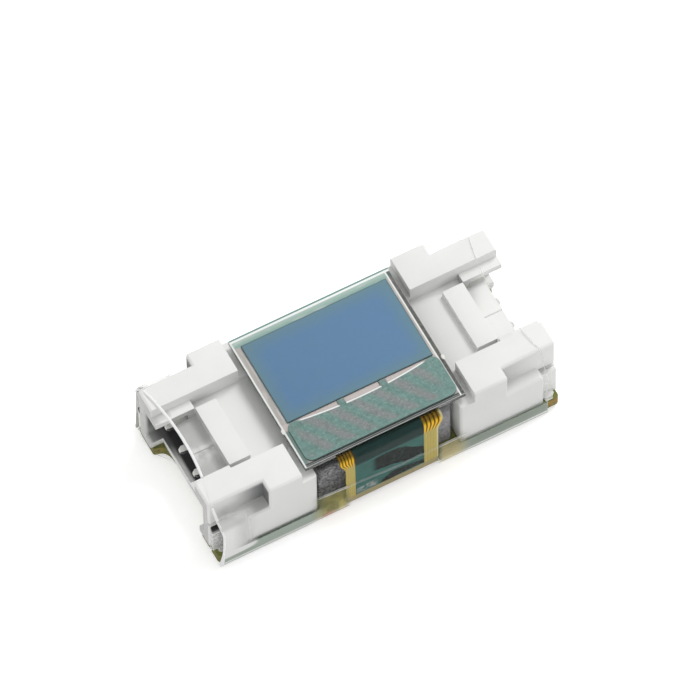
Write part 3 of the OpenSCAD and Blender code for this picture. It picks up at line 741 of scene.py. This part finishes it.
def flex_finish(settings):
    """Amber strips with fans of gold tracks, and a dark coated middle with black patches, with painted
    shadow under the glass, a painted highlight on the right strip and a painted sleeve reflection.
    """
    low, high = corners("flex_tail")
    board_top = corners("circuit_board")[1].z
    paint = Paint("flex_film")
    x, z = paint.x, paint.z
    drift = paint.noise(0.9, 4, 0.6, stretch=(0.6, 1.0, 1.2)) - 0.5
    cloud = paint.noise(0.9, 4, 0.6)

    # The tail flares out by flare_w on each side, to where it is bonded to the glass. A strip
    # of bare film runs on each side of the cover, and share goes from 0 to 1 across a strip.
    taper_low, taper_high, flare_w = high.z - 1.37, high.z - 0.45, 0.4
    cover_left, cover_right = -2.6, 2.55
    drawn_in = flare_w * z.fall(taper_low, taper_high)
    left_out, right_out = low.x + drawn_in, high.x - drawn_in
    cover = (x + 0.05 * (paint.noise(0.5, 3) - 0.5)).within(cover_left, cover_right, 0.05)
    on_left = x.fall(-0.1, 0.1)
    share_left = (x - left_out) / (cover_left - left_out)
    share_right = (x - cover_right) / (right_out - cover_right)
    share = on_left * share_left + (1 - on_left) * share_right
    trace = ((share * settings.tracks + 0.05) % 1.0).within(0.12, 0.7, 0.16)
    gold = paint.layered(
        srgb(120, 78, 16),
        (trace, settings.copper),
        # Painted shadow under the glass's edge.
        (z.rise(high.z - 0.35, high.z - 0.05) * 0.85, srgb(60, 44, 14)))
    amber = paint.layered(
        settings.amber,
        (cloud, toned(settings.amber, 1.22)),
        (trace * 0.35, toned(settings.amber, 0.76)),
        (z.rise(taper_low - 0.1, taper_low + 0.45 + 0.2 * on_left), gold),
        # A painted highlight along the right strip's outer edge.
        (share_right.within(0.9, 1.05, 0.1) * (1 - on_left) * 0.6, srgb(240, 236, 190)))

    # Two ragged black patches: the upper under an arch and above a slanting line, the lower
    # under a low ridge and above the board. Each is where its two heights are positive.
    ragged = paint.noise(0.14, 3, 0.6) - 0.5
    arch = 4.85 - 0.19 * (x + 0.3) ** 2.0 - z
    upper = arch.at_most(z - (2.8 - 0.22 * x))
    upper = (upper + 0.9 * drift + 0.5 * ragged).rise(0.0, 0.12) * x.rise(-1.5, -0.9)
    ridge = (1.4 + 0.9 * (x + 0.64)).at_most(2.15 - 0.18 * x) - z
    lower = ridge.at_most(z - (board_top - 0.1))
    lower = (lower + 0.5 * drift + 0.4 * ragged).rise(0.0, 0.1) * x.rise(-1.0, -0.5)
    black = paint.mix(paint.noise(0.2, 2, 0.8).rise(0.5, 0.62) * 0.4, srgb(3, 6, 6),
                      srgb(78, 100, 94))
    # Painted shadow under the glass's edge, and a pale painted reflection of the sleeve low on the left
    # of the middle.
    under_glass = (z + 0.35 * drift).rise(high.z - 1.45, high.z - 1.15)
    sleeve_glare = (x.within(-2.5, -1.0, 0.3) * z.within(board_top, board_top + 0.75, 0.3)
            * paint.noise(0.3, 3, 0.7).rise(0.4, 0.6))
    middle = paint.layered(
        settings.cover,
        (cloud.rise(0.3, 0.7), toned(settings.cover, 1.35)),
        ((upper + lower).clip(), black),
        (under_glass * 0.85, srgb(16, 30, 30)),
        (sleeve_glare * 0.8, srgb(176, 180, 178)))

    tan = paint.mix(paint.noise(0.2, 3), srgb(164, 150, 108), srgb(194, 180, 140))
    colour = paint.layered(
        amber,
        (cover, middle),
        (z.fall(board_top - 0.12, board_top - 0.02) * 0.9, tan),
        (z.fall(low.z + 0.04, low.z + 0.14) * 0.8, srgb(142, 104, 52)))
    normal = paint.bump(trace * (1 - cover), 0.008, paint.bump(cloud, 0.01))
    return paint.finished(Base_Color=colour, Roughness=0.4 + 0.14 * cloud, Normal=normal,
                          Specular_IOR_Level=0.08)


def foam_finish(settings):
    """Open-cell grey foam, stippled light and dark, with painted light towards the right and painted
    shadow under the glass.
    """
    low, high = corners("foam_pad")
    paint = Paint("cell_foam")
    cell = paint.cells(settings.pore)
    rough = paint.noise(settings.pore * 1.8, 5, 0.75)
    stipple = paint.noise(0.2, 3, 0.9)
    dark, light = toned(settings.foam, 0.25), toned(settings.foam, 1.9)
    # Painted light growing towards the right, and painted shadow under the glass's edge, weaker on the
    # lit right.
    lit_to_right = paint.x.rise(low.x, high.x)
    under_glass = paint.z.rise(high.z - 1.3, high.z - 0.3)
    colour = paint.layered(
        dark,
        (cell.rise(0.1, 0.7), settings.foam),
        (rough.rise(0.5, 0.75) * 0.6, light),
        (paint.noise(1.3, 3).rise(0.5, 0.8) * 0.3, light),
        (stipple.fall(0.34, 0.48) * 0.6, dark),
        (stipple.rise(0.5, 0.64) * 0.7, srgb(214, 214, 216)),
        (lit_to_right * 0.45, srgb(186, 184, 188)),
        (under_glass * (0.9 - 0.5 * lit_to_right), srgb(22, 22, 24)))
    return paint.finished(Base_Color=colour, Roughness=0.9, Normal=paint.bump(cell + rough, 0.05),
                          Specular_IOR_Level=0.2)


def sleeve_finish(settings):
    """Clear shrunk film: almost nothing face on, milky where it folds under the board, with painted
    highlights on its crease and near the floor, a painted shadow line on the left hem and a painted
    white reflection over its left ends.
    """
    board_top = corners("circuit_board")[1].z
    glass_end = corners("front_glass")[1].x
    paint = Paint("clear_sleeve")
    x, y, z = paint.x, paint.y, paint.z
    cloud = paint.noise(1.6, 3)
    ripple = paint.noise(0.9, 3, 0.6, stretch=(1.0, 0.35, 0.35))
    facing = paint.node("ShaderNodeLayerWeight", None, {"Blend": 0.5}, "Facing")
    side = abs(paint.ny).rise(0.3, 0.8)
    front = y.fall(-1.0, 1.0)
    over_socket = abs(x).rise(glass_end - 1.3, glass_end + 0.1)
    between = 1 - over_socket

    # What shows beside a socket: its cut edge, the hem folded up against the board, the bright line near
    # the floor, painted as a highlight, a painted shadow line along the hem's top on the left, and the
    # left ends, which a painted white reflection covers like milk.
    cut = abs(paint.nx).rise(0.7, 0.85) * z.rise(0.3, 0.6) * 0.3
    hem = z.fall(board_top + 0.36, board_top + 0.5) * side * over_socket
    bright = z.within(0.4, 0.52, 0.06) * side * over_socket
    # A painted white reflection covers the left end's front and, less, its back.
    end_glare = front * side * x.fall(-12.0, -9.8) * z.within(1.3, 5.5, 0.8)
    end_glare = end_glare + 0.8 * (1 - front) * side * x.fall(-12.6, -11.8)
    # A painted shadow line along the top of the hem.
    lip = z.within(board_top + 0.22, board_top + 0.45, 0.05) * over_socket

    # What shows between the sockets: a crease, painted as a highlight line, that sinks towards the
    # right, and the olive skirt below it, with a gap where the flex tail presses the film out.
    crease_z = 2.45 + 0.1 * (0.7 - x).at_least(0.0)
    beside_flex = 1 - x.within(-3.2, 3.7, 0.5)
    skirt = z.fall(crease_z - 0.1, crease_z) * side * between * beside_flex
    crease = ((z - crease_z).within(-0.05, 0.05, 0.06) * side * between
              * (0.35 + 0.5 * ripple) * front)

    veil = (settings.haze + 0.75 * facing ** 9.0 + 0.02 * (cloud - 0.5).clip()
            + settings.fold * hem * (1 - 0.35 * x.rise(4.0, 7.0)) + 0.5 * bright
            + (0.4 + 0.8 * beside_flex) * crease + cut + 0.97 * end_glare
            + (0.16 + 0.2 * cloud + 0.45 * z.fall(0.5, 2.2)) * skirt * front).clip()
    olive = paint.layered(
        srgb(140, 136, 52),
        (ripple.rise(0.35, 0.65), srgb(206, 194, 100)),
        (z.fall(0.45, 0.95) * paint.noise(0.7, 3).rise(0.35, 0.6), srgb(186, 104, 26)),
        (x.rise(0, 1), srgb(222, 208, 148)))
    pale = paint.mix(end_glare.clip() * z.rise(4.4, 4.9), srgb(240, 240, 238),
                     srgb(214, 214, 212))
    colour = paint.layered(
        settings.tint,
        (z.fall(0.4, 0.48), srgb(196, 202, 194)),
        (skirt, olive),
        (z.fall(0.02, 0.09), srgb(140, 146, 140)),
        (lip * x.fall(-10.5, -9.5) * 0.7, srgb(120, 132, 112)),
        ((cut * 3 + bright + crease * 4 + end_glare * 20).clip(), pale))
    return paint.veiled(veil, Base_Color=colour, Roughness=0.12, Normal=paint.bump(ripple, 0.03))


def rim_finish():
    """Rolled, milky rim of the cut sleeve, thinner at the back and at the right end."""
    paint = Paint("sleeve_rim")
    cloud = paint.noise(0.5, 3)
    colour = paint.layered(
        srgb(255, 255, 255),
        (cloud, srgb(244, 246, 244)),
        (paint.y.rise(4.5, 5.5), srgb(234, 236, 234)))
    solid = 1 - paint.x.rise(-1.0, 1.0) * (0.45 + 0.4 * cloud)
    solid = solid * (1 - 0.35 * paint.y.rise(5.0, 5.8))
    return paint.veiled(solid, Base_Color=colour, Roughness=0.2 + 0.15 * cloud, Coat_Weight=0.4,
                        Coat_Roughness=0.08)


# ------------------------------------------------------------------ operators

class ModuleOperator:
    """Shared parts of this add-on's operators."""
    bl_options = {"REGISTER", "UNDO"}

    @classmethod
    def poll(cls, context):
        return context.scene is not None


class MODULE_OT_housings(ModuleOperator, bpy.types.Operator):
    """Dresses the two moulded socket housings with rounded edges and matt nylon"""
    bl_idname = "module.housings"
    bl_label = "Socket housings"

    def execute(self, context):
        settings = context.scene.module_housing
        nylon = nylon_finish(settings)
        for side in SIDES:
            dressed(side + "_socket_housing", side + "_housing_shell", settings.edge, nylon,
                    "housing_nylon")
        return {"FINISHED"}


class MODULE_OT_contacts(ModuleOperator, bpy.types.Operator):
    """Finishes the contacts and solder tabs and adds their solder joints"""
    bl_idname = "module.contacts"
    bl_label = "Contacts, tabs and solder"

    @staticmethod
    def tab_solder(side, end, settings):
        """A low solder puddle around a tab's foot, and on the left a round bead at the mouth's corner.
        """
        low, high = corners(f"{side}_solder_tab_{end}")
        mouthward = -1 if side == "left" else 1
        mouth_x = low.x if side == "left" else high.x
        plate_y, foot_y = (high.y, low.y) if end == "front" else (low.y, high.y)
        outward = math.copysign(1, foot_y)
        starts, stops, height = 0.5, 1.1, 0.12
        near, far = sorted((mouth_x - starts * mouthward, mouth_x - stops * mouthward))
        inner, outer = sorted((plate_y, foot_y + outward * settings.fillet))
        mesh = soften(block((near, inner, low.z), (far, outer, low.z + height)), 0.1, 3, 60)
        if side == "left":
            spot = Vector((mouth_x + mouthward * 0.07, plate_y + outward * 0.12,
                           low.z + settings.bead * 0.55))
            ball(mesh, settings.bead / 2 * MM, (1.0, 1.0, 0.9), spot * MM)
        return mesh

    def execute(self, context):
        settings = context.scene.module_metal
        solder = solder_finish(settings)
        for side in SIDES:
            bright = pin_finish(settings.solder, side)
            tin = tab_finish(side)
            for number in range(1, CONTACTS + 1):
                node = f"{side}_contact_{number}"
                dressed(node, f"{side}_pin_{number}", FINE_EDGE, bright, "contact_tin")
            for end in ENDS:
                node = f"{side}_solder_tab_{end}"
                dressed(node, f"{side}_tab_{end}", FINE_EDGE, tin, "tab_tin")
                piece(self.tab_solder(side, end, settings), f"{side}_tab_{end}_solder",
                      solder)
        dress("flex_solder_joints", solder)
        return {"FINISHED"}


class MODULE_OT_board(ModuleOperator, bpy.types.Operator):
    """Dresses the circuit board and adds its plated holes"""
    bl_idname = "module.board"
    bl_label = "Circuit board"

    @staticmethod
    def via(mesh, x, y, low, high, settings):
        """A plated through hole: a tube through the board with a flat ring at each face."""
        lift = 0.012
        made = bmesh.ops.create_circle(mesh, segments=20, radius=settings.drill / 2)
        bmesh.ops.translate(mesh, vec=(x, y, low - lift), verts=made["verts"])
        ring = [e for e in mesh.edges if all(v in made["verts"] for v in e.verts)]
        first = ring
        for grow, climb in ((settings.via / settings.drill, 0), (1, high - low + 2 * lift),
                            (settings.drill / settings.via, 0)):
            made = bmesh.ops.extrude_edge_only(mesh, edges=ring)
            verts = [g for g in made["geom"] if isinstance(g, bmesh.types.BMVert)]
            ring = [g for g in made["geom"] if isinstance(g, bmesh.types.BMEdge)
                    and all(v in verts for v in g.verts)]
            centre = Matrix.Translation((-x, -y, 0))
            bmesh.ops.scale(mesh, vec=(grow, grow, 1), space=centre, verts=verts)
            bmesh.ops.translate(mesh, vec=(0, 0, climb), verts=verts)
        bmesh.ops.bridge_loops(mesh, edges=first + ring)

    def execute(self, context):
        settings = context.scene.module_board
        low, high = corners("circuit_board")
        dressed("circuit_board", "masked_board", FINE_EDGE, board_finish(settings),
                "board_mask", 1)
        holes = bmesh.new()
        stagger = 0.3
        for side in (-1, 1):
            for x in (4.4, 7.2):
                for y in (-2.6, 2.4):
                    self.via(holes, side * x, y + stagger * side, low.z, high.z, settings)
        bmesh.ops.scale(holes, vec=(MM, MM, MM), verts=holes.verts)
        bmesh.ops.recalc_face_normals(holes, faces=holes.faces)
        piece(holes, "plated_holes", plated_finish(settings))
        return {"FINISHED"}


class MODULE_OT_parts(ModuleOperator, bpy.types.Operator):
    """Finishes the board's regulator, capacitors and resistors"""
    bl_idname = "module.parts"
    bl_label = "Board parts"

    def execute(self, context):
        tin = context.scene.module_metal.tin
        compound = chip_finish("moulded_compound", srgb(44, 44, 46), 0.55, 0.07)
        dressed("voltage_regulator", "regulator_package", 0.02, compound, "chip_body")
        for number in range(1, CHIP_PAIRS + 1):
            for kind, colour in (("capacitor", srgb(176, 140, 104)),
                                 ("resistor", srgb(30, 30, 32))):
                node = f"{kind}_{number}"
                dressed(node, node + "_chip", 0.015, part_ends_finish(node, colour, tin),
                        kind + "_body")
        return {"FINISHED"}


class MODULE_OT_display(ModuleOperator, bpy.types.Operator):
    """Builds the display's glass plates, films and driver chip"""
    bl_idname = "module.display"
    bl_label = "Display"

    def execute(self, context):
        settings = context.scene.module_display
        edge = settings.glass_edge
        rows = (
            ("front_glass", "cover_glass", edge, sealed_glass_finish(settings), "front_glass"),
            ("back_glass", "rear_glass", edge, rear_glass_finish(), "back_glass"),
            ("viewing_film", "view_polariser", FINE_EDGE, film_finish(settings),
             "viewing_film"),
            ("ledge_film", "ledge_cover", 0.035, ledge_finish(settings), "ledge_film"),
            ("emitter_stack", "emitter_layers", 0.01,
             chip_finish("emitter_layers", srgb(40, 56, 84), 0.2, 0.1), "emitter"),
            ("driver_chip", "driver_die", 0.02,
             chip_finish("bare_silicon", srgb(70, 72, 80), 0.18, 0.2), "chip_silicon"),
        )
        for node, name, width, material, slot in rows:
            dressed(node, name, width, material, slot)
        low, high = corners("front_glass")
        film_y = corners("viewing_film")[0].y
        drops = bmesh.new()
        for x in (low.x + 0.02, high.x - 0.02):
            ball(drops, settings.drop / 2, (0.9, 1.5, 0.45),
                 (x, film_y - 0.4, high.z - 0.03), 20)
        bmesh.ops.scale(drops, vec=(MM, MM, MM), verts=drops.verts)
        piece(drops, "sealing_drops", chip_finish("sealing_resin", srgb(236, 236, 232), 0.2, 0.1))
        return {"FINISHED"}


class MODULE_OT_flex(ModuleOperator, bpy.types.Operator):
    """Dresses the flex tail in its amber film, gold tracks and dark cover"""
    bl_idname = "module.flex"
    bl_label = "Flex tail"

    def execute(self, context):
        film = flex_finish(context.scene.module_flex)
        piece(copied("flex_tail"), "flex_film", film, ["flex_tail"])
        return {"FINISHED"}


class MODULE_OT_foam(ModuleOperator, bpy.types.Operator):
    """Models the open-cell pad under the display"""
    bl_idname = "module.foam"
    bl_label = "Foam pad"

    def execute(self, context):
        foam = foam_finish(context.scene.module_foam)
        pad = dressed("foam_pad", "cell_foam_pad", 0.12, foam, "foam", 3)
        return {"FINISHED"}


class MODULE_OT_sleeve(ModuleOperator, bpy.types.Operator):
    """Draws the clear shrunk sleeve and the rolled rims of its two cut ends"""
    bl_idname = "module.sleeve"
    bl_label = "Shrink sleeve"

    @staticmethod
    def cut_path(mesh, end):
        """Points along the middle of the sleeve's cut edge at one end, from low in front."""
        cut = [face.calc_center_median() for face in mesh.faces if face.normal.x * end > 0.6]
        far = max(centre.x * end for centre in cut)
        centres = [c for c in cut if c.x * end > far - 1.5 * MM and c.z > 0.2 * MM]
        middle = CAD_BOX[1].z / 2
        centres.sort(key=lambda c: (math.atan2(c.z - middle, c.y) + math.pi / 2) % math.tau)
        path = centres[:1]
        for centre in centres:
            if (centre - path[-1]).length > 0.3 * MM:
                path.append(centre)
        for smoothing in range(2):
            inner = [(a + 2 * b + c) / 4 for a, b, c in zip(path, path[1:], path[2:])]
            path = path[:1] + inner + path[-1:]
        return path

    @staticmethod
    def rim_shape(end, place):
        """Whether the rim shows at a place in millimetres, and its thickness there.

        On the left the film clings to the front shoulder and to the back wall without a rim,
        and its front rim thickens towards the floor.
        """
        if end < 0:
            on_shoulder = place.z > 6 and -4.9 < place.y < -3.1
            on_back_wall = place.z < 4.6 and place.y > 0
            if on_shoulder or on_back_wall:
                return False, 1
            if place.y < 0:
                return True, 1 + max(0, 1 - place.z / 1.4)
        return True, 0.8 if place.y > 4.5 else 1

    def rim(self, mesh, end, thickness, name, material):
        """A round bead laid along the middle of one cut end, in one or more stretches."""
        curve = bpy.data.curves.new(name, "CURVE")
        curve.dimensions = "3D"
        curve.bevel_depth = thickness / 2 * MM
        curve.bevel_resolution = 3
        curve.resolution_u = 3
        curve.use_fill_caps = True
        inset = Vector((end * thickness * 0.3 * MM, 0, 0))
        line = None
        for centre in self.cut_path(mesh, end):
            shown, radius = self.rim_shape(end, centre / MM)
            if not shown:
                line = None
                continue
            if line is None:
                line = curve.splines.new("BEZIER")
            else:
                line.bezier_points.add(1)
            point = line.bezier_points[-1]
            point.co = centre - inset
            point.handle_left_type = point.handle_right_type = "AUTO"
            point.radius = radius
        carrier = bpy.data.objects.new(name, curve)
        rolled = merged(bpy.data.meshes.new_from_object(carrier))
        bpy.data.objects.remove(carrier)
        bmesh.ops.recalc_face_normals(rolled, faces=rolled.faces)
        piece(rolled, name, material)

    @staticmethod
    def sliced(mesh, place, across):
        """Cuts every face by a plane through place, so that the film can bend there."""
        parts = mesh.verts[:] + mesh.edges[:] + mesh.faces[:]
        bmesh.ops.bisect_plane(mesh, geom=parts, dist=1e-7, plane_co=place, plane_no=across)

    def draw_in(self, mesh):
        """Draws the ends in between the shoulders and up under the board's hollows."""
        for step in range(1, 6):
            self.sliced(mesh, (0, 0, step * MM), (0, 0, 1))
        for step in range(-5, 6):
            self.sliced(mesh, (0, step * 0.85 * MM, 0), (0, 1, 0))
        low, high = corners("shrink_sleeve")
        start = 10.3
        top_z, top_reach, top_pull = 6, 4.95, 0.68
        foot_z, foot_reach, foot_pull = 0.5, 3.7, 1.3
        front_y, front_h, front_pull = -5.5, 5.5, 0.22
        for side, end in ((-1, -low.x), (1, high.x)):
            for vert in mesh.verts:
                x, y, z = vert.co / MM
                share = (x * side - start) / (end - start)
                if share <= 0:
                    continue
                if z > top_z:
                    pull = top_pull * max(0, 1 - (y / top_reach) ** 2)
                elif z < foot_z:
                    pull = foot_pull * max(0, 1 - (y / foot_reach) ** 4)
                elif side < 0 and y < front_y:
                    pull = front_pull * math.sin(math.pi * min(1, z / front_h))
                else:
                    continue
                bmesh.ops.translate(mesh, verts=[vert], vec=(-side * share * pull * MM, 0, 0))

    def execute(self, context):
        settings = context.scene.module_sleeve
        mesh = merged(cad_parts["shrink_sleeve"].data)
        self.draw_in(mesh)
        mesh.normal_update()
        milky = rim_finish()
        self.rim(mesh, -1, settings.rim, "sleeve_rim_left", milky)
        self.rim(mesh, 1, settings.rim_right, "sleeve_rim_right", milky)
        piece(mesh, "clear_sleeve", sleeve_finish(settings),
              ["shrink_sleeve"], smooth_angle=50)
        return {"FINISHED"}


class MODULE_OT_stage(ModuleOperator, bpy.types.Operator):
    """Sets the floor, the soft studio light and the camera"""
    bl_idname = "module.stage"
    bl_label = "Stage and camera"

    @staticmethod
    def floor(settings):
        """A wide pale floor that shows white to the camera and keeps the object's shadow."""
        mesh = bmesh.new()
        bmesh.ops.create_grid(mesh, x_segments=2, y_segments=2, size=1.5)
        bmesh.ops.translate(mesh, vec=(0, 0, CAD_BOX[0].z - 0.02 * MM), verts=mesh.verts)
        paint = Paint("pale_floor")
        rays = paint.tree.nodes.new("ShaderNodeLightPath")
        camera, glossy, through = (Value(paint, rays.outputs[f"Is {kind} Ray"])
                                   for kind in ("Camera", "Glossy", "Transmission"))
        seen = (camera + glossy + through).clip()
        matt = paint.node("ShaderNodeBsdfDiffuse", None, {"Color": settings.floor[:]})
        glow = paint.node("ShaderNodeEmission", None, {"Strength": seen * 0.5})
        both = paint.node("ShaderNodeAddShader", None, {0: matt, 1: glow})
        placed("floor", mesh, paint.done(both))

    @staticmethod
    def lamp(name, place, size, power, target):
        data = bpy.data.lights.new(name, "AREA")
        data.shape = "DISK"
        data.size = size
        data.energy = power
        made = linked(name, data)
        made.location = place
        made.visible_glossy = False
        made.rotation_mode = "QUATERNION"
        made.rotation_quaternion = (Vector(target) - Vector(place)).to_track_quat("-Z", "Y")

    @staticmethod
    def camera():
        """The camera looks down from the front left, a little rolled, from far away."""
        azimuth, elevation, roll = (math.radians(a) for a in (-26.67, 60.05, 1.63))
        distance, shift_right, shift_up = 0.7, 0.000232, 0.001073
        aim = Vector((0, 0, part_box("viewing_film")[1].z))
        back = Vector((math.sin(azimuth) * math.cos(elevation),
                       -math.cos(azimuth) * math.cos(elevation), math.sin(elevation)))
        level = Vector((math.cos(azimuth), math.sin(azimuth), 0))
        upright = back.cross(level)
        right = level * math.cos(roll) - upright * math.sin(roll)
        up = level * math.sin(roll) + upright * math.cos(roll)
        data = bpy.data.cameras.new("camera")
        data.sensor_width = 36
        data.lens = 544.4
        data.clip_start, data.clip_end = 0.01, 10
        made = linked("camera", data)
        place = aim + back * distance + right * shift_right + up * shift_up
        turn = Matrix((right, up, back)).transposed().to_4x4()
        made.matrix_world = Matrix.Translation(place) @ turn
        bpy.context.scene.camera = made

    def execute(self, context):
        settings = context.scene.module_stage
        self.floor(settings)
        middle = (CAD_BOX[0] + CAD_BOX[1]) / 2
        self.lamp("key", (0.24, 0.10, 0.44), 0.2, settings.key, middle)
        self.lamp("fill", (-0.3, -0.25, 0.3), 0.3, settings.fill, middle)
        world = bpy.data.worlds.new("studio")
        world.use_nodes = True
        background = world.node_tree.nodes["Background"]
        background.inputs["Color"].default_value = (1, 1, 1, 1)
        background.inputs["Strength"].default_value = settings.sky
        context.scene.world = world
        context.scene.view_settings.view_transform = "Standard"
        self.camera()
        return {"FINISHED"}


OPERATORS = (MODULE_OT_housings, MODULE_OT_contacts, MODULE_OT_board, MODULE_OT_parts,
             MODULE_OT_display, MODULE_OT_flex, MODULE_OT_foam, MODULE_OT_sleeve,
             MODULE_OT_stage)


class MODULE_PT_pieces(bpy.types.Panel):
    """Lists the settings and the operators in the order in which they are run"""
    bl_idname = "MODULE_PT_pieces"
    bl_label = "Small Display Module"
    bl_space_type = "VIEW_3D"
    bl_region_type = "UI"
    bl_category = "Module"

    def draw(self, context):
        for name, group in SETTINGS.items():
            box = self.layout.box()
            box.label(text=name.replace("module_", "").capitalize())
            for key in group.__annotations__:
                box.prop(getattr(context.scene, name), key)
        for operator in OPERATORS:
            self.layout.operator(operator.bl_idname)


def register():
    for name, group in SETTINGS.items():
        bpy.utils.register_class(group)
        setattr(bpy.types.Scene, name, PointerProperty(type=group))
    for kind in (*OPERATORS, MODULE_PT_pieces):
        bpy.utils.register_class(kind)


def unregister():
    for kind in (MODULE_PT_pieces, *reversed(OPERATORS)):
        bpy.utils.unregister_class(kind)
    for name, group in SETTINGS.items():
        delattr(bpy.types.Scene, name)
        bpy.utils.unregister_class(group)


def main():
    register()
    for operator in OPERATORS:
        family, action = operator.bl_idname.split(".")
        getattr(getattr(bpy.ops, family), action)()


if __name__ == "__main__":
    main()
